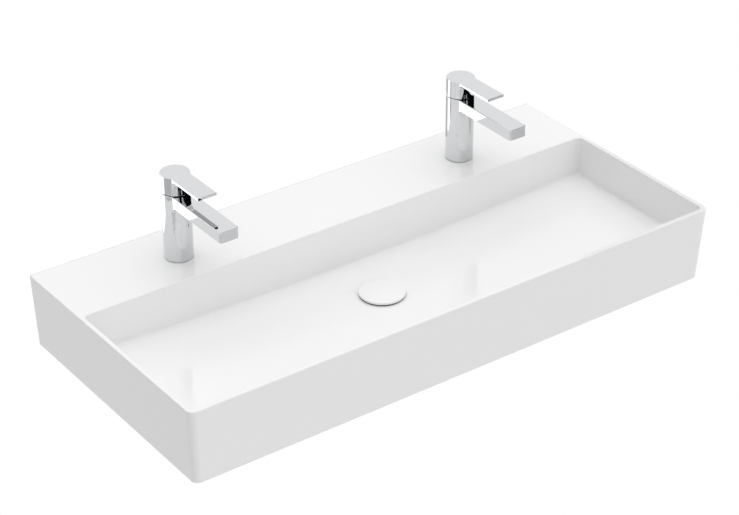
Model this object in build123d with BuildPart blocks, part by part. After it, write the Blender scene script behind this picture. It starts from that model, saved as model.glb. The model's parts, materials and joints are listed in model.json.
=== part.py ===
from build123d import *
from math import hypot, radians, sin, sqrt, tan
import os

# Double washbasin with two single-lever taps. Millimetres and degrees.
# Origin on the wall face, at the basin's underside, in the middle of its length.
# X runs along the basin, -Y is the front, +Z is up.

os.makedirs("parts", exist_ok=True)

# Clearances
snug = 0.05                    # pieces of one body that fit into each other
running = 0.1                  # a turning neck in its bore
free = 0.3                     # moving faces that must not touch
past = 5.0                     # how far a cutting shape runs past a face

# Basin, outside
basin_length = 1000.0
basin_depth = 470.0
basin_height = 132.0
wall_lean = 2.84               # sides and front lean in towards the underside
front_corner_radius = 12.0
foot_edge_radius = 3.0
rim_edge_radius = 1.5

# Basin, bowl
rim_width = 8.0
deck_depth = 153.0
bowl_corner_radius = 9.0
bowl_foot_radius = 6.0

# Heights of the bowl floor above the underside, across its middle and its ends
floor_front_middle = 42.0
floor_bend_middle = 37.5
floor_rear_middle = 54.8
floor_front_end = 60.5
floor_bend_end = 59.5
floor_rear_end = 64.5
floor_bend_from_wall = 202.0   # where the floor bends up to the rear
floor_bend_radius = 90.0
floor_rise = 1.4               # how late the floor climbs towards the ends

# Basin, casting below
deck_thickness = 14.0
bowl_wall = 9.0
floor_thickness = 12.0
skirt_wall = 12.0
rear_wall = 14.0
hollow_corner_radius = 8.0
hollow_edge_radius = 5.0       # round the ceiling of the hollow
fixing_spacing = 280.0         # two wall bolts
fixing_height = 75.0
fixing_hole_radius = 7.0
fixing_pad_width = 46.0
fixing_pad_height = 60.0
fixing_pad_depth = 22.0

# Waste
waste_from_wall = 247.0
waste_recess_radius = 36.0
waste_recess_depth = 5.0
waste_recess_edge = 1.5
waste_hole_radius = 23.0
waste_boss_radius = 42.0
waste_boss_bottom = 18.0
flange_radius = 34.5
flange_thickness = 2.5
flange_seal_thickness = 1.0
tail_radius = 20.95            # G 1 1/4
tail_bore_radius = 18.0
tail_length = 78.0
tail_relief_height = 2.0       # where the thread ends below the lock nut
tail_relief_depth = 0.6
strainer_height = 6.0
strainer_drop = 4.0            # from the flange top to the top of the spokes
strainer_hub_radius = 6.0
strainer_spoke_width = 3.0
strainer_spokes = 4
under_seal_thickness = 5.0
under_seal_radius = 33.0
slip_washer_thickness = 1.5
slip_washer_radius = 31.0
lock_nut_flats = 54.0
lock_nut_height = 8.0

# Waste cover
cover_radius = 38.3
cover_edge_height = 3.2
cover_dome = 2.0
cover_underside = 41.5         # of the ceramic, above the basin's underside
carrier_radius = 37.0
carrier_thickness = 2.0
cushion_outer_radius = 27.0
cushion_inner_radius = 22.0
cushion_thickness = 1.2
shoulder_radius = 5.0
stem_radius = 3.0
stem_length = 22.0

# Taps, outside. Heights are above the deck.
tap_spacing = 560.0
tap_setback = 86.0             # from the wall to the column's axis
column_radius = 23.75
column_foot_radius = 3.0
body_top = 119.2
seam = 1.6                     # between body and head
head_top = 151.5
head_edge = 0.8
lever_width = 33.5
lever_thickness = 4.5
lever_reach = 94.2
lever_root_radius = 8.0        # where it grows out of the head
spout_width = 34.0
spout_height = 18.7
spout_reach = 155.0
spout_root_radius = 8.0        # where it grows out of the column
spout_corner_radius = 4.5      # upright corners of its tip
spout_edge_radius = 1.2        # round its top face

# Taps, fixing on the deck
deck_hole_radius = 17.5
inlet_thread_radius = 4.55     # M10 x 1
inlet_thread_depth = 14.0
stud_radius = 4.0              # M8
stud_from_axis = 9.5
stud_engagement = 11.0
stud_length = 76.0
foot_seal_inner = 18.1
foot_seal_outer = 19.9
foot_seal_thickness = 1.5
clamp_radius = 24.0
clamp_slot_width = 25.0        # leaves the hoses free
clamp_slot_reach = 3.0
clamp_washer_thickness = 3.0
clamp_plate_thickness = 2.0
clamp_nut_flats = 13.0
clamp_nut_height = 10.0

# Taps, outlet
aerator_from_tip = 14.0
aerator_bore_radius = 9.25
aerator_bore_depth = 10.5
aerator_wall = 0.9
aerator_stand = 0.5            # how far it stands out of the spout
aerator_lip = 1.1
aerator_lip_width = 0.8
aerator_seal_thickness = 1.5
aerator_seal_width = 2.2
aerator_key_width = 2.5
insert_cell = 1.1              # half the width of a cell across its corners
insert_cell_pitch = 2.5
insert_cell_depth = 2.0

# Taps, water ways
duct_width = 20.0
duct_floor = 104.0
duct_top = 115.5
duct_throat_top = 111.0        # below the nut's thread
duct_wall = 2.5
riser_width = 4.0
riser_depth = 4.0
chamber_floor = 80.0
chamber_top = 89.0

# Cartridge
seat = 92.5                    # where it stands in the body
cartridge_radius = 14.5
cartridge_wall = 1.5
base_thickness = 3.5
seal_section = 1.2
fixed_disc_thickness = 4.0
moving_disc_thickness = 3.4
disc_gap = 0.05                # film between the discs
moving_disc_radius = 8.8
inlet_port_radius = 2.2
inlet_port_x = 5.4
inlet_port_y = 4.9
outlet_port_radius = 3.0
outlet_port_y = 3.5
inlet_bore_radius = 2.6
inlet_bore_x = 5.9
inlet_bore_y = 4.7
outlet_bore_y = 4.6
mixing_radius = 4.6
mixing_depth = 1.8
carrier_top = 110.5
carrier_width = 12.6
carrier_peg_x = 4.5
carrier_peg_radius = 1.2
carrier_peg_length = 0.8
housing_shoulder = 115.0
housing_ceiling = 113.0
housing_neck_radius = 11.0
housing_neck_top = 123.0
rotor_flange_thickness = 2.0
rotor_neck_radius = 8.0
rotor_neck_top = 124.0
rotor_slot_length = 12.4
cheek_bottom = 104.2
nut_thread_radius = 16.8
nut_seat_depth = 7.2           # counterbore for the nut
nut_collar_top = 121.0
nut_flats = 28.0
dome_ring_radius = 19.0
dome_ring_top = 126.0
dome_ring_mouth = 12.2
dome_ring_wall = 1.2

# Lever mechanism
tilt_height = 118.0            # of the pin
tilt_range = 25.0
tilt_gap = 0.5                 # head above the body when fully lifted
pin_radius = 1.25
blade_width = 6.0
blade_depth = 5.0
ball_drop = 9.5                # ball below the pin
ball_radius = 2.5
ball_neck_radius = 1.9
square_side = 7.0
square_bottom = 127.5
square_top = 145.5
socket_gap = 0.05
head_bore_radius = 21.0
boss_radius = 7.0
boss_bottom = 133.0
rib_width = 10.0
grub_height = 138.0
grub_radius = 2.5              # M5
grub_length = 10.0
plug_radius = 4.0
plug_thickness = 3.0

# Places that follow from the values above
lean = tan(radians(wall_lean))
waste_y = -waste_from_wall
bend_y = -floor_bend_from_wall
floor_front_y = -(basin_depth - rim_width)
floor_rear_y = -deck_depth
floor_slope = (floor_front_middle - floor_bend_middle) / (bend_y - floor_front_y)
floor_at_waste = floor_bend_middle + floor_slope * (bend_y - waste_y)
waste_seat = floor_at_waste - waste_recess_depth
head_bottom = body_top + seam
spout_bottom = body_top - spout_height
aerator_y = -(spout_reach - aerator_from_tip)
ball_height = tilt_height - ball_drop
slider_travel = ball_drop * sin(radians(tilt_range))


# The basin's outline at a height, drawn in by the lean of its walls and by a wall thickness
def basin_plan(height, inset, rear, radius):
    drawn_in = (basin_height - height) * lean + inset
    half = basin_length / 2 - drawn_in
    front = basin_depth - drawn_in
    with BuildSketch(Plane.XY.offset(height)) as plan:
        with Locations((0, -rear)):
            Rectangle(2 * half, front - rear, align=(Align.CENTER, Align.MAX))
        fillet(plan.vertices().group_by(Axis.Y)[0], radius)
    return plan.sketch


# The bowl's outline at a height, grown by the thickness of its wall
def bowl_plan(height, grown):
    drawn_in = (basin_height - height) * lean - grown
    half = basin_length / 2 - rim_width - drawn_in
    front = -(basin_depth - rim_width) + drawn_in
    rear = -deck_depth - drawn_in
    with BuildSketch(Plane.XY.offset(height)) as plan:
        with Locations((0, (front + rear) / 2)):
            RectangleRounded(2 * half, rear - front, bowl_corner_radius + grown)
    return plan.sketch


# A section across the bowl floor, closed above the rim. The floor falls to the waste,
# and bends up to the rear wall.
def floor_section(x, lowered):
    share = (2 * abs(x) / basin_length) ** floor_rise
    front = floor_front_middle + share * (floor_front_end - floor_front_middle) - lowered
    bend = floor_bend_middle + share * (floor_bend_end - floor_bend_middle) - lowered
    rear = floor_rear_middle + share * (floor_rear_end - floor_rear_middle) - lowered
    outer_front = -basin_depth - past
    outer_rear = floor_rear_y + bowl_wall + past
    front += (front - bend) * (floor_front_y - outer_front) / (bend_y - floor_front_y)
    rear += (rear - bend) * (outer_rear - floor_rear_y) / (floor_rear_y - bend_y)
    top = basin_height + 2 * past
    corners = [
        (outer_front, top),
        (outer_front, front),
        (bend_y, bend),
        (outer_rear, rear),
        (outer_rear, top),
    ]
    with BuildSketch(Plane.YZ.offset(x)) as section:
        with BuildLine():
            FilletPolyline(*corners, radius=(0, 0, floor_bend_radius, 0, 0), close=True)
        make_face()
    return section.sketch


# The space of the bowl, for cutting and for the wall round it
def bowl_space(grown, lowered):
    stations = [basin_length / 2 * share for share in (-1, -0.5, 0, 0.5, 1)]
    with BuildPart() as space:
        loft([bowl_plan(0, grown), bowl_plan(basin_height + past, grown)], ruled=True)
        loft([floor_section(x, lowered) for x in stations], mode=Mode.INTERSECT)
    return space


bowl = bowl_space(0, 0)
with bowl:
    floor_faces = bowl.faces().filter_by(lambda face: face.normal_at().Z < -0.8)
    floor_edges = floor_faces.edges()
    foot = [edge for edge in floor_edges if sum(edge.is_same(other) for other in floor_edges) == 1]
    fillet(foot, bowl_foot_radius)

bowl_shell = bowl_space(bowl_wall, floor_thickness)

# The hollow under bowl and deck
with BuildPart() as hollow:
    loft(
        [
            basin_plan(-past, skirt_wall, rear_wall, hollow_corner_radius),
            basin_plan(basin_height - deck_thickness, skirt_wall, rear_wall, hollow_corner_radius),
        ],
        ruled=True,
    )
    fillet(hollow.faces().sort_by(Axis.Z)[-1].edges(), hollow_edge_radius)
    add(bowl_shell.part, mode=Mode.SUBTRACT)

with BuildPart() as basin:
    loft(
        [
            basin_plan(0, 0, 0, front_corner_radius),
            basin_plan(basin_height, 0, 0, front_corner_radius),
        ],
        ruled=True,
    )
    underside = basin.faces().sort_by(Axis.Z)[0].edges().sort_by(Axis.Y)[:-1]
    fillet(underside, foot_edge_radius)
    rim_outline = basin.faces().sort_by(Axis.Z)[-1].edges().sort_by(Axis.Y)[:-1]
    fillet(rim_outline, rim_edge_radius)
    add(bowl.part, mode=Mode.SUBTRACT)
    mouth = basin.faces().sort_by(Axis.Z)[-1].inner_wires()[0].edges()
    fillet(mouth, rim_edge_radius)
    add(hollow.part, mode=Mode.SUBTRACT)
    # boss round the waste hole
    with BuildSketch(Plane.XY.offset(waste_boss_bottom)):
        with Locations((0, waste_y)):
            Circle(waste_boss_radius)
    extrude(amount=floor_at_waste - floor_thickness / 2 - waste_boss_bottom)
    # pads for the wall bolts
    with BuildSketch(Plane.XZ):
        with Locations((-fixing_spacing / 2, fixing_height), (fixing_spacing / 2, fixing_height)):
            RectangleRounded(fixing_pad_width, fixing_pad_height, fixing_hole_radius)
    extrude(amount=fixing_pad_depth)
    with BuildSketch(Plane.XZ):
        with Locations((-fixing_spacing / 2, fixing_height), (fixing_spacing / 2, fixing_height)):
            Circle(fixing_hole_radius)
    extrude(amount=fixing_pad_depth + past, mode=Mode.SUBTRACT)
    # tap holes
    with BuildSketch(Plane.XY.offset(basin_height)):
        with Locations((-tap_spacing / 2, -tap_setback), (tap_spacing / 2, -tap_setback)):
            Circle(deck_hole_radius)
    extrude(amount=-deck_thickness - past, mode=Mode.SUBTRACT)
    # seat and hole of the waste
    with BuildSketch(Plane.XY.offset(waste_seat)):
        with Locations((0, waste_y)):
            Circle(waste_recess_radius)
    extrude(amount=2 * waste_recess_depth, mode=Mode.SUBTRACT)
    recess_wall = basin.faces(Select.LAST).filter_by(GeomType.CYLINDER)
    fillet(recess_wall.edges().group_by(Axis.Z)[-1], waste_recess_edge)
    with BuildSketch(Plane.XY.offset(waste_seat + past)):
        with Locations((0, waste_y)):
            Circle(waste_hole_radius)
    extrude(amount=-waste_seat, mode=Mode.SUBTRACT)

basin.part.label = "basin"
export_step(basin.part, "parts/basin.step")

# Waste, from the flange down

flange_bottom = waste_seat + flange_seal_thickness
flange_top = flange_bottom + flange_thickness
strainer_top = flange_top - strainer_drop
tail_bottom = flange_bottom - tail_length
slip_washer_top = waste_boss_bottom - under_seal_thickness
lock_nut_top = slip_washer_top - slip_washer_thickness
lock_nut_bottom = lock_nut_top - lock_nut_height

with BuildPart() as waste_body:
    with BuildSketch(Plane.XY.offset(flange_bottom)):
        Circle(flange_radius)
    extrude(amount=flange_thickness)
    chamfer(waste_body.edges().group_by(Axis.Z)[-1], flange_thickness / 2)
    with BuildSketch(Plane.XY.offset(flange_top)):
        Circle(tail_radius)
    extrude(amount=tail_bottom - flange_top)
    with BuildSketch(Plane.XY.offset(flange_top)):
        Circle(tail_bore_radius)
    extrude(amount=tail_bottom - flange_top, mode=Mode.SUBTRACT)
    mouth_edges = waste_body.edges().filter_by(GeomType.CIRCLE).group_by(Axis.Z)[-1]
    chamfer(mouth_edges.sort_by(SortBy.RADIUS)[0], flange_thickness)
    with BuildSketch(Plane.XY.offset(lock_nut_bottom)):
        Circle(tail_radius)
        Circle(tail_radius - tail_relief_depth, mode=Mode.SUBTRACT)
    extrude(amount=-tail_relief_height, mode=Mode.SUBTRACT)
    with BuildSketch(Plane.XY.offset(strainer_top)):
        with PolarLocations(tail_bore_radius / 2, strainer_spokes):
            Rectangle(tail_bore_radius + 1, strainer_spoke_width)
        Circle(strainer_hub_radius)
        Circle(stem_radius + running, mode=Mode.SUBTRACT)
    extrude(amount=-strainer_height)

with BuildPart() as flange_seal:
    with BuildSketch(Plane.XY.offset(waste_seat)):
        Circle(flange_radius - 1)
        Circle(waste_hole_radius + 1, mode=Mode.SUBTRACT)
    extrude(amount=flange_seal_thickness)

with BuildPart() as under_seal:
    with BuildSketch(Plane.XY.offset(waste_boss_bottom)):
        Circle(under_seal_radius)
    extrude(amount=-under_seal_thickness)
    # the cone that centres the tail in the hole
    with BuildSketch(Plane.XY.offset(waste_boss_bottom)):
        Circle(waste_hole_radius - snug)
    extrude(amount=under_seal_thickness / 2, taper=8)
    with BuildSketch(Plane.XY.offset(waste_boss_bottom + under_seal_thickness)):
        Circle(tail_radius + snug)
    extrude(amount=-3 * under_seal_thickness, mode=Mode.SUBTRACT)

with BuildPart() as slip_washer:
    with BuildSketch(Plane.XY.offset(slip_washer_top)):
        Circle(slip_washer_radius)
        Circle(tail_radius + snug, mode=Mode.SUBTRACT)
    extrude(amount=-slip_washer_thickness)

with BuildPart() as lock_nut:
    with BuildSketch(Plane.XY.offset(lock_nut_top)):
        RegularPolygon(lock_nut_flats / 2, 6, major_radius=False)
        Circle(tail_radius + snug, mode=Mode.SUBTRACT)
    extrude(amount=-lock_nut_height)

# Waste cover: a ceramic cap cushioned on a chromed carrier, whose stem stands in the strainer

rim_of_dome = cover_underside + cover_edge_height
with BuildPart() as waste_cover:
    with BuildSketch(Plane.XZ):
        with BuildLine():
            Polyline(
                (0, rim_of_dome + cover_dome),
                (0, cover_underside),
                (cover_radius, cover_underside),
                (cover_radius, rim_of_dome),
            )
            ThreePointArc(
                (cover_radius, rim_of_dome),
                (cover_radius * sqrt(0.5), rim_of_dome + cover_dome / 2),
                (0, rim_of_dome + cover_dome),
            )
        make_face()
    revolve(axis=Axis.Z)
    outer_edges = waste_cover.edges().filter_by(GeomType.CIRCLE).sort_by(SortBy.RADIUS)[-2:]
    fillet(outer_edges, cover_edge_height / 4)
    with BuildSketch(Plane.XY.offset(cover_underside)):
        Circle(cushion_outer_radius + snug)
        Circle(cushion_inner_radius - snug, mode=Mode.SUBTRACT)
    extrude(amount=cushion_thickness, mode=Mode.SUBTRACT)

with BuildPart() as cover_cushion:
    with BuildSketch(Plane.XY.offset(cover_underside)):
        Circle(cushion_outer_radius)
        Circle(cushion_inner_radius, mode=Mode.SUBTRACT)
    extrude(amount=cushion_thickness)

carrier_bottom = cover_underside - carrier_thickness
with BuildPart() as cover_carrier:
    with BuildSketch(Plane.XY.offset(carrier_bottom)):
        Circle(carrier_radius)
    extrude(amount=carrier_thickness)
    fillet(cover_carrier.edges().group_by(Axis.Z)[0], carrier_thickness / 4)
    with BuildSketch(Plane.XY.offset(carrier_bottom)):
        Circle(shoulder_radius)
    extrude(amount=strainer_top - carrier_bottom)
    with BuildSketch(Plane.XY.offset(strainer_top)):
        Circle(stem_radius)
    extrude(amount=-stem_length)
    chamfer(cover_carrier.edges().group_by(Axis.Z)[0], stem_radius / 3)

waste = {
    "waste_body": waste_body,
    "flange_seal": flange_seal,
    "under_seal": under_seal,
    "slip_washer": slip_washer,
    "lock_nut": lock_nut,
    "waste_cover": waste_cover,
    "cover_cushion": cover_cushion,
    "cover_carrier": cover_carrier,
}
for name, piece in waste.items():
    placed = piece.part.moved(Location((0, waste_y, 0)))
    placed.label = name
    export_step(placed, f"parts/{name}.step")

# Tap body: column, spout and water ways. Each tap stands with its axis on the origin.

bore_radius = cartridge_radius + 2 * running
nut_bore_radius = nut_thread_radius + 2 * running
riser_rear = -(bore_radius + duct_wall)
riser_front = riser_rear - riser_depth
counterbore_wall_y = -(nut_bore_radius + 4 * duct_wall)
aerator_edge_y = aerator_y + aerator_bore_radius + duct_wall
aerator_seat = spout_bottom + aerator_bore_depth
inlet_places = [(-inlet_bore_x, -inlet_bore_y), (inlet_bore_x, -inlet_bore_y)]
outlet_place = (0, outlet_bore_y)


# How far the middle of an edge is from the column's axis
def from_axis(edge):
    middle = edge @ 0.5
    return hypot(middle.X, middle.Y)


# The edges where an arm leaves the column, below its top face
def root_edges(piece, bottom, top):
    level = piece.edges().filter_by(lambda edge: bottom - snug < (edge @ 0.5).Z < top - snug)
    front = level.filter_by(lambda edge: (edge @ 0.5).Y < 0)
    return front.filter_by(lambda edge: abs(from_axis(edge) - column_radius) < snug)


with BuildPart() as tap_body:
    with BuildSketch():
        Circle(column_radius)
    extrude(amount=body_top)
    fillet(tap_body.edges().group_by(Axis.Z)[0], column_foot_radius)
    with BuildSketch(Plane.XY.offset(spout_bottom)) as spout_plan:
        Rectangle(spout_width, spout_reach, align=(Align.CENTER, Align.MAX))
        fillet(spout_plan.vertices().group_by(Axis.Y)[0], spout_corner_radius)
    extrude(amount=spout_height)
    fillet(root_edges(tap_body, spout_bottom, body_top), spout_root_radius)
    body_face = tap_body.faces().sort_by(Axis.Z)[-1]
    fillet(
        body_face.edges().filter_by(lambda edge: from_axis(edge) > column_radius + snug),
        spout_edge_radius,
    )
    # bore of the cartridge and of its nut
    with Locations((0, 0, body_top)):
        CounterBoreHole(bore_radius, nut_bore_radius, nut_seat_depth, body_top - seat)
    # ports in the seat
    with BuildSketch(Plane.XY.offset(seat + past)):
        with Locations(outlet_place):
            Circle(inlet_bore_radius)
    extrude(amount=chamber_floor - seat - past, mode=Mode.SUBTRACT)
    with BuildSketch():
        with Locations(*inlet_places):
            Circle(inlet_bore_radius)
    extrude(amount=seat + past, mode=Mode.SUBTRACT)
    # threads for the hoses and the stud
    with BuildSketch():
        with Locations(*inlet_places):
            Circle(inlet_thread_radius)
    extrude(amount=inlet_thread_depth, mode=Mode.SUBTRACT)
    with BuildSketch():
        with Locations((0, stud_from_axis)):
            Circle(stud_radius + snug)
    extrude(amount=stud_engagement + 1, mode=Mode.SUBTRACT)
    # groove of the foot seal
    with BuildSketch():
        Circle(foot_seal_outer + snug)
        Circle(foot_seal_inner - snug, mode=Mode.SUBTRACT)
    extrude(amount=foot_seal_thickness, mode=Mode.SUBTRACT)
    # chamber under the seat, and the riser to the spout
    with BuildSketch(Plane.YZ):
        with BuildLine():
            Polyline(
                (outlet_bore_y, chamber_floor),
                (outlet_bore_y, chamber_top),
                (riser_rear, chamber_top),
                (riser_rear, duct_throat_top),
                (riser_front, duct_throat_top),
                (riser_front, chamber_floor),
                close=True,
            )
        make_face()
    extrude(amount=riser_width / 2, both=True, mode=Mode.SUBTRACT)
    # duct of the spout, low under the nut and high beyond it
    with BuildSketch(Plane.YZ):
        with BuildLine():
            Polyline(
                (riser_rear, duct_floor),
                (riser_rear, duct_throat_top),
                (counterbore_wall_y, duct_throat_top),
                (counterbore_wall_y, duct_top),
                (aerator_y - aerator_bore_radius / 2, duct_top),
                (aerator_y - aerator_bore_radius / 2, aerator_seat),
                (aerator_edge_y, aerator_seat),
                (aerator_edge_y, duct_floor),
                close=True,
            )
        make_face()
    extrude(amount=duct_width / 2, both=True, mode=Mode.SUBTRACT)
    with BuildSketch(Plane.XY.offset(spout_bottom)):
        with Locations((0, aerator_y)):
            Circle(aerator_bore_radius)
    extrude(amount=aerator_bore_depth, mode=Mode.SUBTRACT)

# Lever: a round head and a flat lever in one. The back of its skirt is cut back, so that
# it clears the body when the lever is lifted.

relief_start = (head_bottom - tilt_height) / tan(radians(tilt_range))
relief_start -= (body_top + tilt_gap - tilt_height) / sin(radians(tilt_range))
relief_end = column_radius + past
relief_rise = (relief_end - relief_start) * tan(radians(tilt_range))
top_plate = head_top - lever_thickness

with BuildPart() as lever:
    with BuildSketch(Plane.XY.offset(head_bottom)):
        Circle(column_radius)
    extrude(amount=head_top - head_bottom)
    with BuildSketch(Plane.XY.offset(top_plate)):
        Rectangle(lever_width, lever_reach, align=(Align.CENTER, Align.MAX))
    extrude(amount=lever_thickness)
    fillet(root_edges(lever, top_plate, head_top), lever_root_radius)
    fillet(lever.faces().sort_by(Axis.Z)[-1].edges(), head_edge)
    with BuildSketch(Plane.XY.offset(head_bottom)):
        Circle(head_bore_radius)
    extrude(amount=boss_bottom - head_bottom, mode=Mode.SUBTRACT)
    # boss for the spindle, and the rib that carries the grub screw
    with BuildSketch(Plane.XY.offset(boss_bottom)):
        Circle(head_bore_radius)
        Circle(boss_radius, mode=Mode.SUBTRACT)
        Rectangle(rib_width, head_bore_radius, align=(Align.CENTER, Align.MIN), mode=Mode.SUBTRACT)
    extrude(amount=top_plate - boss_bottom, mode=Mode.SUBTRACT)
    with BuildSketch(Plane.XY.offset(boss_bottom)):
        Rectangle(square_side + 2 * socket_gap, square_side + 2 * socket_gap)
    extrude(amount=square_top + 2 * socket_gap - boss_bottom, mode=Mode.SUBTRACT)
    with BuildSketch(Plane.YZ):
        with BuildLine():
            Polyline(
                (relief_start, head_bottom),
                (relief_end, head_bottom + relief_rise),
                (relief_end, head_bottom - past),
                (relief_start, head_bottom - past),
                close=True,
            )
        make_face()
    extrude(amount=column_radius + past, both=True, mode=Mode.SUBTRACT)
    # grub screw and its plug
    with BuildSketch(Plane.XZ):
        with Locations((0, grub_height)):
            Circle(grub_radius + snug)
    extrude(amount=-column_radius, mode=Mode.SUBTRACT)
    with BuildSketch(Plane.XZ.offset(-(column_radius - plug_thickness))):
        with Locations((0, grub_height)):
            Circle(plug_radius + snug)
    extrude(amount=-plug_thickness - past, mode=Mode.SUBTRACT)

with BuildPart() as index_plug:
    with BuildSketch(Plane.XZ.offset(-(column_radius - plug_thickness))):
        with Locations((0, grub_height)):
            Circle(plug_radius)
    extrude(amount=-plug_thickness - past)
    with BuildSketch(Plane.XY.offset(grub_height - plug_radius - 1)):
        Circle(column_radius)
    extrude(amount=2 * plug_radius + 2, mode=Mode.INTERSECT)

with BuildPart() as grub_screw:
    with BuildSketch(Plane.XZ.offset(-square_side / 2)):
        with Locations((0, grub_height)):
            Circle(grub_radius)
    extrude(amount=-grub_length)
    chamfer(grub_screw.edges().filter_by(GeomType.CIRCLE).sort_by(Axis.Y)[0], grub_radius / 4)
    with BuildSketch(Plane.XZ.offset(-(square_side / 2 + grub_length))):
        with Locations((0, grub_height)):
            RegularPolygon(grub_radius / 2, 6)
    extrude(amount=grub_radius, mode=Mode.SUBTRACT)

# Spindle: a square for the lever, a blade on the pin and a ball that drives the disc carrier

with BuildPart() as spindle:
    with BuildSketch(Plane.XY.offset(square_bottom)):
        Rectangle(square_side, square_side)
    extrude(amount=square_top - square_bottom)
    with BuildSketch(Plane.XY.offset(carrier_top + 1)):
        Rectangle(blade_width, blade_depth)
    extrude(amount=square_bottom - carrier_top - 1)
    with BuildSketch(Plane.XY.offset(ball_height)):
        Circle(ball_neck_radius)
    extrude(amount=carrier_top + 1 - ball_height)
    with Locations((0, 0, ball_height)):
        Sphere(ball_radius)
    with BuildSketch(Plane.YZ):
        with Locations((0, tilt_height)):
            Circle(pin_radius + snug)
    extrude(amount=blade_width, both=True, mode=Mode.SUBTRACT)

rotor_flange_top = housing_ceiling - 2 * running
rotor_flange_bottom = rotor_flange_top - rotor_flange_thickness
housing_bore = cartridge_radius - cartridge_wall
rotor_radius = housing_bore - free

with BuildPart() as rotor:
    with BuildSketch(Plane.XY.offset(cheek_bottom)):
        Circle(rotor_radius)
    extrude(amount=rotor_flange_top - cheek_bottom)
    # channel that guides the disc carrier
    with BuildSketch(Plane.XY.offset(cheek_bottom)):
        Rectangle(carrier_width + 4 * running, 2 * rotor_radius)
    extrude(amount=rotor_flange_bottom - cheek_bottom, mode=Mode.SUBTRACT)
    with BuildSketch(Plane.XY.offset(rotor_flange_top)):
        Circle(rotor_neck_radius)
    extrude(amount=rotor_neck_top - rotor_flange_top)
    with BuildSketch(Plane.XY.offset(rotor_neck_top)):
        Rectangle(blade_width + 2 * running, rotor_slot_length)
    extrude(amount=rotor_flange_bottom - rotor_neck_top, mode=Mode.SUBTRACT)
    with BuildSketch(Plane.YZ):
        with Locations((0, tilt_height)):
            Circle(pin_radius + snug / 2)
    extrude(amount=rotor_neck_radius, both=True, mode=Mode.SUBTRACT)

with BuildPart() as spindle_pin:
    with BuildSketch(Plane.YZ):
        with Locations((0, tilt_height)):
            Circle(pin_radius)
    extrude(amount=rotor_neck_radius - 2 * running, both=True)

# Cartridge, from its seat up

base_top = seat + base_thickness
fixed_disc_top = base_top + fixed_disc_thickness
moving_disc_bottom = fixed_disc_top + disc_gap
moving_disc_top = moving_disc_bottom + moving_disc_thickness
seal_inner = inlet_bore_radius + seal_section / 4

with BuildPart() as cartridge_base:
    with BuildSketch(Plane.XY.offset(seat)):
        Circle(cartridge_radius)
    extrude(amount=base_thickness)
    with BuildSketch(Plane.XY.offset(seat)):
        with Locations(*inlet_places, outlet_place):
            Circle(seal_inner)
    extrude(amount=base_thickness, mode=Mode.SUBTRACT)
    with BuildSketch(Plane.XY.offset(seat)):
        with Locations(*inlet_places, outlet_place):
            Circle(seal_inner + seal_section + snug)
    extrude(amount=seal_section, mode=Mode.SUBTRACT)

with BuildPart() as base_seals:
    with BuildSketch(Plane.XY.offset(seat)):
        with Locations(*inlet_places, outlet_place):
            Circle(seal_inner + seal_section)
        with Locations(*inlet_places, outlet_place):
            Circle(seal_inner, mode=Mode.SUBTRACT)
    extrude(amount=seal_section)

with BuildPart() as fixed_disc:
    with BuildSketch(Plane.XY.offset(base_top)):
        Circle(housing_bore - snug)
        with Locations((-inlet_port_x, -inlet_port_y), (inlet_port_x, -inlet_port_y)):
            Circle(inlet_port_radius, mode=Mode.SUBTRACT)
        with Locations((0, outlet_port_y)):
            Circle(outlet_port_radius, mode=Mode.SUBTRACT)
    extrude(amount=fixed_disc_thickness)

with BuildPart() as moving_disc:
    with BuildSketch(Plane.XY.offset(moving_disc_bottom)):
        Circle(moving_disc_radius)
    extrude(amount=moving_disc_thickness)
    # the chamber that joins the ports when the disc is forward
    with BuildSketch(Plane.XY.offset(moving_disc_bottom)):
        with Locations((0, slider_travel / 2)):
            Circle(mixing_radius)
    extrude(amount=mixing_depth, mode=Mode.SUBTRACT)
    with BuildSketch(Plane.XY.offset(moving_disc_top)):
        with Locations((-carrier_peg_x, 0), (carrier_peg_x, 0)):
            Circle(carrier_peg_radius + snug)
    extrude(amount=-carrier_peg_length - snug, mode=Mode.SUBTRACT)

with BuildPart() as disc_carrier:
    with BuildSketch(Plane.XY.offset(moving_disc_top)):
        Circle(moving_disc_radius)
        Rectangle(carrier_width, 2 * moving_disc_radius, mode=Mode.INTERSECT)
    extrude(amount=carrier_top - moving_disc_top)
    with BuildSketch(Plane.XY.offset(moving_disc_top)):
        with Locations((-carrier_peg_x, 0), (carrier_peg_x, 0)):
            Circle(carrier_peg_radius)
    extrude(amount=-carrier_peg_length)
    # pocket of the spindle's ball
    with BuildSketch(Plane.XY.offset(carrier_top)):
        Circle(ball_radius + free)
    extrude(amount=ball_height - ball_radius - free - carrier_top, mode=Mode.SUBTRACT)

with BuildPart() as cartridge_housing:
    with BuildSketch(Plane.XY.offset(base_top)):
        Circle(cartridge_radius)
    extrude(amount=housing_shoulder - base_top)
    with BuildSketch(Plane.XY.offset(housing_shoulder)):
        Circle(housing_neck_radius)
    extrude(amount=housing_neck_top - housing_shoulder)
    with BuildSketch(Plane.XY.offset(base_top)):
        Circle(housing_bore)
    extrude(amount=housing_ceiling - base_top, mode=Mode.SUBTRACT)
    with BuildSketch(Plane.XY.offset(housing_ceiling)):
        Circle(rotor_neck_radius + running)
    extrude(amount=housing_neck_top - housing_ceiling, mode=Mode.SUBTRACT)

with BuildPart() as retaining_nut:
    with BuildSketch(Plane.XY.offset(housing_shoulder)):
        Circle(nut_thread_radius)
    extrude(amount=body_top - housing_shoulder)
    with BuildSketch(Plane.XY.offset(body_top)):
        RegularPolygon(nut_flats / 2, 6, major_radius=False)
    extrude(amount=nut_collar_top - body_top)
    with BuildSketch(Plane.XY.offset(housing_shoulder)):
        Circle(housing_neck_radius + 2 * running)
    extrude(amount=nut_collar_top - housing_shoulder, mode=Mode.SUBTRACT)

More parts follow.
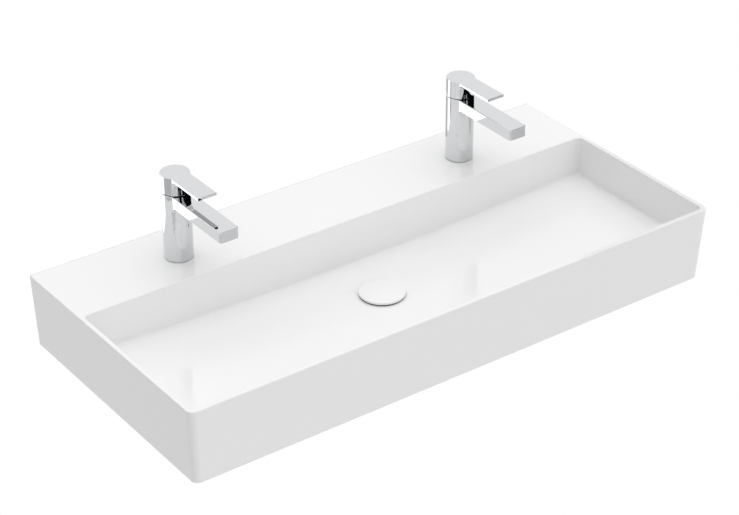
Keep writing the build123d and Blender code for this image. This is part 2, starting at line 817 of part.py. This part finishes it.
with BuildPart() as dome_ring:
    inner_radius = dome_ring_radius - dome_ring_wall
    with BuildSketch(Plane.XZ):
        with BuildLine():
            Line((inner_radius, body_top), (dome_ring_radius, body_top))
            Line((dome_ring_radius, body_top), (dome_ring_radius, nut_collar_top))
            RadiusArc(
                (dome_ring_radius, nut_collar_top),
                (dome_ring_mouth, dome_ring_top),
                -(dome_ring_radius - dome_ring_mouth) * 1.3,
            )
            Line((dome_ring_mouth, dome_ring_top), (dome_ring_mouth, dome_ring_top - dome_ring_wall))
            RadiusArc(
                (dome_ring_mouth, dome_ring_top - dome_ring_wall),
                (inner_radius, nut_collar_top),
                (dome_ring_radius - dome_ring_mouth) * 1.3,
            )
            Line((inner_radius, nut_collar_top), (inner_radius, body_top))
        make_face()
    revolve(axis=Axis.Z)

# Aerator in the underside of the spout's tip

aerator_radius = aerator_bore_radius - 2 * snug
aerator_inner = aerator_radius - aerator_wall
aerator_bottom = spout_bottom - aerator_stand
aerator_top = aerator_seat - aerator_seal_thickness

with BuildPart() as aerator_housing:
    with BuildSketch(Plane.XY.offset(aerator_bottom)):
        with Locations((0, aerator_y)):
            Circle(aerator_radius)
    extrude(amount=aerator_top - aerator_bottom)
    with BuildSketch(Plane.XY.offset(aerator_bottom + aerator_lip)):
        with Locations((0, aerator_y)):
            Circle(aerator_inner)
    extrude(amount=aerator_bore_depth, mode=Mode.SUBTRACT)
    with BuildSketch(Plane.XY.offset(aerator_bottom)):
        with Locations((0, aerator_y)):
            Circle(aerator_inner - aerator_lip_width)
            Rectangle(3 * aerator_radius, aerator_key_width)
    extrude(amount=aerator_stand, mode=Mode.SUBTRACT)
    with BuildSketch(Plane.XY.offset(aerator_bottom)):
        with Locations((0, aerator_y)):
            Circle(aerator_inner - aerator_lip_width)
    extrude(amount=2 * aerator_lip, mode=Mode.SUBTRACT)

with BuildPart() as aerator_insert:
    with BuildSketch(Plane.XY.offset(aerator_bottom + aerator_lip)):
        with Locations((0, aerator_y)):
            Circle(aerator_inner - snug)
    extrude(amount=aerator_top - aerator_bottom - aerator_lip)
    with BuildSketch(Plane.XY.offset(aerator_bottom + aerator_lip)):
        with Locations((0, aerator_y)):
            with HexLocations(insert_cell_pitch / 2, 5, 5):
                RegularPolygon(insert_cell, 6)
    extrude(amount=insert_cell_depth, mode=Mode.SUBTRACT)

with BuildPart() as aerator_seal:
    with BuildSketch(Plane.XY.offset(aerator_top)):
        with Locations((0, aerator_y)):
            Circle(aerator_radius)
            Circle(aerator_radius - aerator_seal_width, mode=Mode.SUBTRACT)
    extrude(amount=aerator_seal_thickness)

# Fixing from below the deck

with BuildPart() as foot_seal:
    with BuildSketch():
        Circle(foot_seal_outer)
        Circle(foot_seal_inner, mode=Mode.SUBTRACT)
    extrude(amount=foot_seal_thickness)

with BuildPart() as fixing_stud:
    with BuildSketch(Plane.XY.offset(stud_engagement)):
        with Locations((0, stud_from_axis)):
            Circle(stud_radius)
    extrude(amount=-stud_length)
    chamfer(fixing_stud.edges().filter_by(GeomType.CIRCLE), stud_radius / 6)


# The horseshoe that clamps the deck and leaves the hoses free
def horseshoe(top, thickness):
    with BuildPart() as shoe:
        with BuildSketch(Plane.XY.offset(top)):
            Circle(clamp_radius)
            with Locations((0, clamp_slot_reach - clamp_radius)):
                Rectangle(clamp_slot_width, 2 * clamp_radius, mode=Mode.SUBTRACT)
            with Locations((0, stud_from_axis)):
                Circle(stud_radius + free, mode=Mode.SUBTRACT)
        extrude(amount=-thickness)
    return shoe


clamp_washer = horseshoe(-deck_thickness, clamp_washer_thickness)
clamp_plate_top = -deck_thickness - clamp_washer_thickness
clamp_plate = horseshoe(clamp_plate_top, clamp_plate_thickness)

with BuildPart() as clamp_nut:
    with BuildSketch(Plane.XY.offset(clamp_plate_top - clamp_plate_thickness)):
        with Locations((0, stud_from_axis)):
            RegularPolygon(clamp_nut_flats / 2, 6, major_radius=False)
            Circle(stud_radius + snug, mode=Mode.SUBTRACT)
    extrude(amount=-clamp_nut_height)

tap = {
    "tap_body": tap_body,
    "lever": lever,
    "index_plug": index_plug,
    "grub_screw": grub_screw,
    "spindle": spindle,
    "rotor": rotor,
    "spindle_pin": spindle_pin,
    "cartridge_base": cartridge_base,
    "base_seals": base_seals,
    "fixed_disc": fixed_disc,
    "moving_disc": moving_disc,
    "disc_carrier": disc_carrier,
    "cartridge_housing": cartridge_housing,
    "retaining_nut": retaining_nut,
    "dome_ring": dome_ring,
    "aerator_housing": aerator_housing,
    "aerator_insert": aerator_insert,
    "aerator_seal": aerator_seal,
    "foot_seal": foot_seal,
    "fixing_stud": fixing_stud,
    "clamp_washer": clamp_washer,
    "clamp_plate": clamp_plate,
    "clamp_nut": clamp_nut,
}
for side, x in (("left", -tap_spacing / 2), ("right", tap_spacing / 2)):
    for name, piece in tap.items():
        placed = piece.part.moved(Location((x, -tap_setback, basin_height)))
        placed.label = f"{side}_{name}"
        export_step(placed, f"parts/{placed.label}.step")
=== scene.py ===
# Double washbasin with two lever taps: camera, studio, glaze, chrome and the fittings below.
import bpy
import json
import math
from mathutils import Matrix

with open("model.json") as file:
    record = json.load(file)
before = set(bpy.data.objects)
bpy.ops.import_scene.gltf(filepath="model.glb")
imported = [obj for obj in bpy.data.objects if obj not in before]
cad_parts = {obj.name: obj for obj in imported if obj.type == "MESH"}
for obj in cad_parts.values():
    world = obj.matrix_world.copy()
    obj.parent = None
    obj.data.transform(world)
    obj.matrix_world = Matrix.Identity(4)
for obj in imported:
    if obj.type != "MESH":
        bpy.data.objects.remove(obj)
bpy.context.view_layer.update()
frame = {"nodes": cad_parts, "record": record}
nodes = frame["nodes"]
bpy.ops.object.select_all(action='DESELECT')
print("frame loaded,", len(nodes), "nodes")

# camera: place and farthest in metres, turn in degrees, lens and sensor in millimetres
cameraView = {
    "place": (-1.84526, -2.77748, 1.97484),
    "turn": (59.1945, 0.2271, -35.866),
    "lens": 111.01,
    "sensor": 36.0,
    "farthest": 50.0,
}


def addCamera(view):
    data = bpy.data.cameras.new("photoCamera")
    data.lens = view["lens"]
    data.sensor_width = view["sensor"]
    data.sensor_fit = 'HORIZONTAL'
    data.clip_end = view["farthest"]
    camera = bpy.data.objects.new("photoCamera", data)
    bpy.context.scene.collection.objects.link(camera)
    camera.location = view["place"]
    camera.rotation_euler = [math.radians(angle) for angle in view["turn"]]
    bpy.context.scene.camera = camera


addCamera(cameraView)
bpy.context.scene.view_settings.view_transform = 'Standard'
print("camera placed")


# small helpers for node trees
def startMaterial(name):
    material = bpy.data.materials.new(name)
    material.use_nodes = True
    tree = material.node_tree
    shader = tree.nodes["Principled BSDF"]
    place = tree.nodes.new("ShaderNodeTexCoord").outputs["Object"]
    return material, tree, shader, place


def addNoise(tree, place, scale, detail=3.0, stretch=(1, 1, 1)):
    mapping = tree.nodes.new("ShaderNodeMapping")
    mapping.inputs["Scale"].default_value = stretch
    tree.links.new(place, mapping.inputs["Vector"])
    noise = tree.nodes.new("ShaderNodeTexNoise")
    noise.inputs["Scale"].default_value = scale
    noise.inputs["Detail"].default_value = detail
    tree.links.new(mapping.outputs["Vector"], noise.inputs["Vector"])
    return noise.outputs["Fac"]


# spreads a value over a new range; noise lies mostly between 0.3 and 0.7
def addRange(tree, value, low, high, fromLow=0.3, fromHigh=0.7):
    spread = tree.nodes.new("ShaderNodeMapRange")
    spread.inputs["From Min"].default_value = fromLow
    spread.inputs["From Max"].default_value = fromHigh
    spread.inputs["To Min"].default_value = low
    spread.inputs["To Max"].default_value = high
    tree.links.new(value, spread.inputs["Value"])
    return spread.outputs["Result"]


def addMath(tree, operation, first, second):
    node = tree.nodes.new("ShaderNodeMath")
    node.operation = operation
    for socket, value in zip(node.inputs, (first, second)):
        if isinstance(value, (int, float)):
            socket.default_value = value
        else:
            tree.links.new(value, socket)
    return node.outputs["Value"]


def addMix(tree, factor, first, second):
    node = tree.nodes.new("ShaderNodeMix")
    node.data_type = 'RGBA'
    tree.links.new(factor, node.inputs["Factor"])
    for socket, value in ((node.inputs["A"], first), (node.inputs["B"], second)):
        if isinstance(value, tuple):
            socket.default_value = (*value, 1.0)
        else:
            tree.links.new(value, socket)
    return node.outputs["Result"]


def addBump(tree, shader, heights):
    normal = None
    for height, distance in heights:
        bump = tree.nodes.new("ShaderNodeBump")
        bump.inputs["Distance"].default_value = distance
        tree.links.new(height, bump.inputs["Height"])
        if normal is not None:
            tree.links.new(normal, bump.inputs["Normal"])
        normal = bump.outputs["Normal"]
    tree.links.new(normal, shader.inputs["Normal"])


# studio: white to the eye and in reflections, and soft light from above and all round but the left
studio = {
    "floorHeight": -0.72,
    "floorHalf": 9.0,
    "floorGrey": 0.70,
    "ambient": 0.12,
    "above": 1.92,
    "right": 0.72,
    "front": 1.07,
    "behind": 1.1,
    "narrowness": (3.0, 2.0),   # of the light from above, and of the others
}


def whiteWhenSeen(tree, lit):
    # camera, glossy and transmission rays meet plain white, all others the light given
    path = tree.nodes.new("ShaderNodeLightPath")
    seen = addMath(tree, 'MAXIMUM', path.outputs["Is Camera Ray"], path.outputs["Is Glossy Ray"])
    seen = addMath(tree, 'MAXIMUM', seen, path.outputs["Is Transmission Ray"])
    white = tree.nodes.new("ShaderNodeEmission")
    white.inputs["Strength"].default_value = 1.0
    mix = tree.nodes.new("ShaderNodeMixShader")
    tree.links.new(seen, mix.inputs["Fac"])
    tree.links.new(lit, mix.inputs[1])
    tree.links.new(white.outputs["Emission"], mix.inputs[2])
    return mix.outputs["Shader"]


# light that is strongest along one way of an axis
def addLobe(tree, axis, sign, power, strength):
    side = addMath(tree, 'MAXIMUM', addMath(tree, 'MULTIPLY', axis, sign), 0.0)
    return addMath(tree, 'MULTIPLY', addMath(tree, 'POWER', side, power), strength)


def buildFloor(values):
    # well below, as a floor lies under a hung basin
    bpy.ops.mesh.primitive_plane_add(size=2 * values["floorHalf"], location=(0, 0, values["floorHeight"]))
    floor = bpy.context.object
    floor.name = "studioFloor"
    material = bpy.data.materials.new("studioWhite")
    material.use_nodes = True
    tree = material.node_tree
    tree.nodes.clear()
    matte = tree.nodes.new("ShaderNodeBsdfDiffuse")
    matte.inputs["Color"].default_value = (*[values["floorGrey"]] * 3, 1.0)
    # clear from below, so that the basin's underside can be looked at
    mix = tree.nodes.new("ShaderNodeMixShader")
    tree.links.new(tree.nodes.new("ShaderNodeNewGeometry").outputs["Backfacing"], mix.inputs["Fac"])
    tree.links.new(whiteWhenSeen(tree, matte.outputs["BSDF"]), mix.inputs[1])
    tree.links.new(tree.nodes.new("ShaderNodeBsdfTransparent").outputs["BSDF"], mix.inputs[2])
    out = tree.nodes.new("ShaderNodeOutputMaterial")
    tree.links.new(mix.outputs["Shader"], out.inputs["Surface"])
    floor.data.materials.append(material)


def buildWorld(values):
    world = bpy.data.worlds.new("studioWorld")
    bpy.context.scene.world = world
    world.use_nodes = True
    tree = world.node_tree
    tree.nodes.clear()
    direction = tree.nodes.new("ShaderNodeTexCoord").outputs["Generated"]
    split = tree.nodes.new("ShaderNodeSeparateXYZ")
    tree.links.new(direction, split.inputs["Vector"])
    narrow, wide = values["narrowness"]
    level = addLobe(tree, split.outputs["Z"], 1.0, narrow, values["above"])
    level = addMath(tree, 'ADD', level, values["ambient"])
    for axis, sign, side in (("X", 1.0, "right"), ("Y", -1.0, "front"), ("Y", 1.0, "behind")):
        level = addMath(tree, 'ADD', level, addLobe(tree, split.outputs[axis], sign, wide, values[side]))
    sky = tree.nodes.new("ShaderNodeBackground")
    tree.links.new(level, sky.inputs["Strength"])
    out = tree.nodes.new("ShaderNodeOutputWorld")
    tree.links.new(whiteWhenSeen(tree, sky.outputs["Background"]), out.inputs["Surface"])


# upright cards that only reflections show: bright ones low behind the deck, one for each column,
# a narrow one beside the right column's, and two grey ones further off
cards = {
    "brightCardLeft": {"place": (-0.381, 0.114, 0.1065), "turn": 23.9, "size": (0.267, 0.117), "glow": 1.8},
    "brightCardRight": {"place": (0.064, 0.157, 0.0775), "turn": 40.0, "size": (0.162, 0.105), "glow": 1.8},
    "lineCardRight": {"place": (-0.013, 0.0795, 0.0775), "turn": 59.5, "size": (0.059, 0.105), "glow": 0.4},
    "greyCardLeft": {"place": (-1.33, -0.10, -0.19), "turn": 90.0, "size": (1.26, 0.6), "glow": 0.58},
    "greyCardRight": {"place": (0.485, 0.95, -0.19), "turn": 0.0, "size": (1.23, 0.6), "glow": 0.6},
}
# painted shade: a dark ring low round the waste cover, in the gap under it, that only reflections show; its
# chromed carrier and the glaze in front reflect it as the shade of that gap
paintedGapShade = {
    "radius": 0.0377,
    "centre": (0.0, -0.247),
    "low": 0.0384,
    "high": 0.0414,
    "glow": 0.02,
    "steps": 96,
}
# a dark curtain, high up from the front round the right, that darkens the gap under each lever
curtain = {
    "radius": 3.0,
    "centre": (0.0, -0.09),
    "low": 0.8,
    "high": 3.0,
    "from": -130.0,
    "to": 18.0,
    "glow": 0.0,
    "steps": 72,
}


def glowMaterial(name, strength):
    material = bpy.data.materials.new(name)
    material.use_nodes = True
    tree = material.node_tree
    tree.nodes.clear()
    glow = tree.nodes.new("ShaderNodeEmission")
    glow.inputs["Strength"].default_value = strength
    out = tree.nodes.new("ShaderNodeOutputMaterial")
    tree.links.new(glow.outputs["Emission"], out.inputs["Surface"])
    return material


def hideFromAllButReflections(card):
    card.visible_camera = False
    card.visible_diffuse = False
    card.visible_transmission = False
    card.visible_shadow = False


def addCard(name, values):
    bpy.ops.mesh.primitive_plane_add(size=1, location=values["place"])
    card = bpy.context.object
    card.name = name
    card.rotation_euler = (math.radians(90), 0, math.radians(values["turn"]))
    card.scale = (*values["size"], 1.0)
    card.data.materials.append(glowMaterial(name + "Face", values["glow"]))
    hideFromAllButReflections(card)


def addRoundWall(name, values):
    middle = (values["low"] + values["high"]) / 2
    bpy.ops.mesh.primitive_cylinder_add(
        vertices=values["steps"], radius=values["radius"], depth=values["high"] - values["low"],
        end_fill_type='NOTHING', location=(*values["centre"], middle))
    wall = bpy.context.object
    wall.name = name
    wall.data.materials.append(glowMaterial(name + "Face", values["glow"]))
    hideFromAllButReflections(wall)
    return wall


# keeps the faces of a round wall between two azimuths, in degrees from the front, positive towards the left
def keepSector(wall, low, high):
    bpy.ops.object.mode_set(mode='EDIT')
    bpy.ops.mesh.select_mode(type='FACE')
    bpy.ops.mesh.select_all(action='DESELECT')
    bpy.ops.object.mode_set(mode='OBJECT')
    for face in wall.data.polygons:
        azimuth = math.degrees(math.atan2(-face.center.x, -face.center.y))
        face.select = not low < azimuth < high
    bpy.ops.object.mode_set(mode='EDIT')
    bpy.ops.mesh.delete(type='FACE')
    bpy.ops.object.mode_set(mode='OBJECT')


buildFloor(studio)
buildWorld(studio)
for cardName, cardValues in cards.items():
    addCard(cardName, cardValues)
# painted shade: a dark ring in the gap under the waste cover, seen only in reflections
addRoundWall("paintedGapShadeRing", paintedGapShade)
keepSector(addRoundWall("darkCurtain", curtain), curtain["from"], curtain["to"])
print("studio built")

# white glaze outside and in the bowl, bare biscuit on the back, the foot and the hollow below
glaze = {
    "colour": (0.93, 0.93, 0.93),
    "tint": (0.925, 0.925, 0.925),
    "tintScale": 5.0,
    "refraction": 1.52,
    "roughness": (0.05, 0.09),
    "roughnessScale": 18.0,
    "wave": (22.0, 0.00006),    # scale and depth
    "peel": (420.0, 0.000006),
    "biscuit": (0.70, 0.665, 0.60),
    "biscuitDark": (0.62, 0.58, 0.52),
    "biscuitScale": 60.0,
    "biscuitRoughness": 0.78,
    "biscuitGrain": (900.0, 0.00012),
    "ragged": 0.0006,           # how unevenly the glaze ends
    "raggedScale": 90.0,
}
# the casting's shape, as far as the bare places need it, in metres
casting = {
    "height": 0.132,
    "length": 1.0,
    "lean": 0.0496,
    "halfLength": 0.494,        # half way into the wall, at the rim
    "front": 0.464,
    "rearWall": 0.007,
    "bowlRear": 0.1485,
    "deckMiddle": 0.125,
    "bend": (0.0315, 0.022),    # half way into the floor: across the middle, and what the ends add
    "frontRise": (0.0173, -0.0135),
    "rearRise": (0.353, -0.251),
    "bendY": -0.202,
    "floorRise": 1.4,           # how late the floor climbs towards the ends
    "face": 0.0008,             # how deep the bare wall face and foot reach
    "faceSlope": 0.0003,
}


def splitPlace(tree, place):
    split = tree.nodes.new("ShaderNodeSeparateXYZ")
    tree.links.new(place, split.inputs["Vector"])
    return split.outputs["X"], split.outputs["Y"], split.outputs["Z"]


# 1 where the first value is above the second, with a short slope between
def addStep(tree, first, second, slope=0.0002):
    over = addMath(tree, 'SUBTRACT', first, second)
    return addRange(tree, over, 0.0, 1.0, -slope, slope)


def addFloorMiddle(tree, values, side, y):
    share = addMath(tree, 'POWER', addMath(tree, 'MULTIPLY', side, 2 / values["length"]), values["floorRise"])
    bend = addMath(tree, 'ADD', addMath(tree, 'MULTIPLY', share, values["bend"][1]), values["bend"][0])
    past = addMath(tree, 'SUBTRACT', y, values["bendY"])
    for rise, sign in ((values["frontRise"], -1.0), (values["rearRise"], 1.0)):
        slope = addMath(tree, 'ADD', addMath(tree, 'MULTIPLY', share, rise[1]), rise[0])
        run = addMath(tree, 'MAXIMUM', addMath(tree, 'MULTIPLY', past, sign), 0.0)
        bend = addMath(tree, 'ADD', bend, addMath(tree, 'MULTIPLY', slope, run))
    return bend


def addBareMask(tree, values, place, ragged):
    x, y, z = splitPlace(tree, place)
    side = addMath(tree, 'ABSOLUTE', x, 0.0)
    drawnIn = addMath(tree, 'MULTIPLY', addMath(tree, 'SUBTRACT', values["height"], z), values["lean"])
    inside = addStep(tree, addMath(tree, 'SUBTRACT', values["halfLength"], drawnIn), side)
    inFront = addStep(tree, addMath(tree, 'ADD', y, values["front"]), drawnIn)
    behind = addStep(tree, -values["rearWall"], y)
    within = addMath(tree, 'MULTIPLY', addMath(tree, 'MULTIPLY', inside, inFront), behind)
    pastBowl = addStep(tree, y, addMath(tree, 'SUBTRACT', -values["bowlRear"], drawnIn))
    underDeck = addMath(tree, 'MULTIPLY', pastBowl, addStep(tree, values["deckMiddle"], z))
    underBowl = addStep(tree, addFloorMiddle(tree, values, side, y), z)
    hollow = addMath(tree, 'MULTIPLY', within, addMath(tree, 'MAXIMUM', underDeck, underBowl))
    back = addStep(tree, addMath(tree, 'ADD', y, ragged), -values["face"], values["faceSlope"])
    foot = addStep(tree, values["face"], addMath(tree, 'ADD', z, ragged), values["faceSlope"])
    return addMath(tree, 'MAXIMUM', hollow, addMath(tree, 'MAXIMUM', back, foot))


def makeGlaze(values, shape):
    material, tree, shader, place = startMaterial("whiteGlaze")
    shader.inputs["IOR"].default_value = values["refraction"]
    uneven = addNoise(tree, place, values["raggedScale"], 2.0)
    edge = addRange(tree, uneven, -values["ragged"] / 2, values["ragged"] / 2)
    bare = addBareMask(tree, shape, place, edge)
    glazed = addMix(tree, addNoise(tree, place, values["tintScale"]), values["colour"], values["tint"])
    patches = addNoise(tree, place, values["biscuitScale"], 5.0)
    biscuit = addMix(tree, patches, values["biscuit"], values["biscuitDark"])
    tree.links.new(addMix(tree, bare, glazed, biscuit), shader.inputs["Base Color"])
    gloss = addRange(tree, addNoise(tree, place, values["roughnessScale"]), *values["roughness"])
    matt = addMath(tree, 'MULTIPLY', bare, values["biscuitRoughness"])
    tree.links.new(addMath(tree, 'MAXIMUM', gloss, matt), shader.inputs["Roughness"])
    waveScale, waveDepth = values["wave"]
    peelScale, peelDepth = values["peel"]
    grainScale, grainDepth = values["biscuitGrain"]
    wave = addNoise(tree, place, waveScale, 1.0)
    peel = addNoise(tree, place, peelScale, 2.0)
    grain = addMath(tree, 'MULTIPLY', addNoise(tree, place, grainScale, 4.0), bare)
    addBump(tree, shader, ((wave, waveDepth), (peel, peelDepth), (grain, grainDepth)))
    return material


chromeFinish = {
    "colour": (0.70, 0.71, 0.72),
    "roughness": (0.02, 0.06),
    "wipedScale": 60.0,
    "wipedStretch": (1, 1, 0.25),
    "wave": (45.0, 0.000012),   # scale and depth
}


def makeChrome(values):
    material, tree, shader, place = startMaterial("polishedChrome")
    shader.inputs["Base Color"].default_value = (*values["colour"], 1.0)
    shader.inputs["Metallic"].default_value = 1.0
    wiped = addNoise(tree, place, values["wipedScale"], 4.0, stretch=values["wipedStretch"])
    tree.links.new(addRange(tree, wiped, *values["roughness"]), shader.inputs["Roughness"])
    waveScale, waveDepth = values["wave"]
    addBump(tree, shader, ((addNoise(tree, place, waveScale, 1.0), waveDepth),))
    return material


# matt and brushed finishes: a colour with patches of a second one, and a grain of a scale and a depth
plainFinishes = {
    "brass": {
        "name": "turnedBrass", "colour": (0.75, 0.56, 0.27), "patch": (0.66, 0.47, 0.20),
        "metallic": 1.0, "roughness": (0.22, 0.38), "grain": (900, 0.00001), "stretch": (1, 1, 8),
    },
    "steel": {
        "name": "zincSteel", "colour": (0.60, 0.61, 0.62), "patch": (0.50, 0.51, 0.53),
        "metallic": 1.0, "roughness": (0.28, 0.42), "grain": (700, 0.00001), "stretch": (1, 1, 1),
    },
    "rubber": {
        "name": "blackRubber", "colour": (0.028, 0.028, 0.03), "patch": (0.045, 0.045, 0.045),
        "metallic": 0.0, "roughness": (0.62, 0.80), "grain": (1500, 0.00002), "stretch": (1, 1, 1),
    },
    "white_plastic": {
        "name": "whitePlastic", "colour": (0.80, 0.80, 0.78), "patch": (0.76, 0.76, 0.74),
        "metallic": 0.0, "roughness": (0.35, 0.48), "grain": (1200, 0.00001), "stretch": (1, 1, 1),
    },
    "grey_plastic": {
        "name": "greyPlastic", "colour": (0.55, 0.56, 0.58), "patch": (0.50, 0.51, 0.53),
        "metallic": 0.0, "roughness": (0.35, 0.48), "grain": (1200, 0.00001), "stretch": (1, 1, 1),
    },
    "disc_ceramic": {
        "name": "lappedCeramic", "colour": (0.82, 0.80, 0.75), "patch": (0.78, 0.76, 0.72),
        "metallic": 0.0, "roughness": (0.15, 0.25), "grain": (1500, 0.000004), "stretch": (1, 1, 1),
    },
}
patchSpread = 6     # how much wider the patches are than the grain


def makePlain(values):
    material, tree, shader, place = startMaterial(values["name"])
    grainScale, grainDepth = values["grain"]
    cloud = addNoise(tree, place, grainScale / patchSpread)
    tree.links.new(addMix(tree, cloud, values["colour"], values["patch"]), shader.inputs["Base Color"])
    shader.inputs["Metallic"].default_value = values["metallic"]
    grain = addNoise(tree, place, grainScale, 4.0, values["stretch"])
    tree.links.new(addRange(tree, grain, *values["roughness"]), shader.inputs["Roughness"])
    addBump(tree, shader, ((grain, grainDepth),))
    return material


# screw threads in the finish of round upright pieces, in metres: cut where the piece is wider than "inside"
# and below "top"
tail = {"pitch": 0.00231, "depth": 0.0011, "inside": 0.0195, "top": 0.0015}
stud = {"pitch": 0.00125, "depth": 0.0006, "inside": 0.003, "top": 0.2}
threads = {
    "waste_body": dict(tail, centre=(0.0, -0.247)),
    "left_fixing_stud": dict(stud, centre=(-0.28, -0.0765)),
    "right_fixing_stud": dict(stud, centre=(0.28, -0.0765)),
}


def cutThread(material, values):
    tree = material.node_tree
    shader = tree.nodes["Principled BSDF"]
    x, y, z = splitPlace(tree, tree.nodes.new("ShaderNodeTexCoord").outputs["Object"])
    acrossX = addMath(tree, 'SUBTRACT', x, values["centre"][0])
    acrossY = addMath(tree, 'SUBTRACT', y, values["centre"][1])
    turn = addMath(tree, 'DIVIDE', addMath(tree, 'ARCTAN2', acrossY, acrossX), 2 * math.pi)
    climb = addMath(tree, 'SUBTRACT', addMath(tree, 'DIVIDE', z, values["pitch"]), turn)
    ridge = addMath(tree, 'PINGPONG', climb, 0.5)
    squares = [addMath(tree, 'MULTIPLY', across, across) for across in (acrossX, acrossY)]
    reach = addMath(tree, 'POWER', addMath(tree, 'ADD', *squares), 0.5)
    cut = addMath(tree, 'MULTIPLY', addStep(tree, reach, values["inside"]), addStep(tree, values["top"], z))
    bump = tree.nodes.new("ShaderNodeBump")
    bump.inputs["Distance"].default_value = 2 * values["depth"]
    tree.links.new(addMath(tree, 'MULTIPLY', ridge, cut), bump.inputs["Height"])
    tree.links.new(shader.inputs["Normal"].links[0].from_socket, bump.inputs["Normal"])
    tree.links.new(bump.outputs["Normal"], shader.inputs["Normal"])


finishes = {
    "glazed_ceramic": makeGlaze(glaze, casting),
    "chrome": makeChrome(chromeFinish),
    "chromed_plastic": makeChrome(dict(chromeFinish, roughness=(0.08, 0.14))),
}
for slot, slotValues in plainFinishes.items():
    finishes[slot] = makePlain(slotValues)

for part in frame["record"]["subparts"]:
    piece = nodes[part["node"]]
    finish = finishes[part["material_slot"]]
    if part["node"] in threads:
        finish = finish.copy()
        finish.name = part["node"] + "Thread"
        cutThread(finish, threads[part["node"]])
    piece.data.materials.clear()
    piece.data.materials.append(finish)
print("finishes assigned")
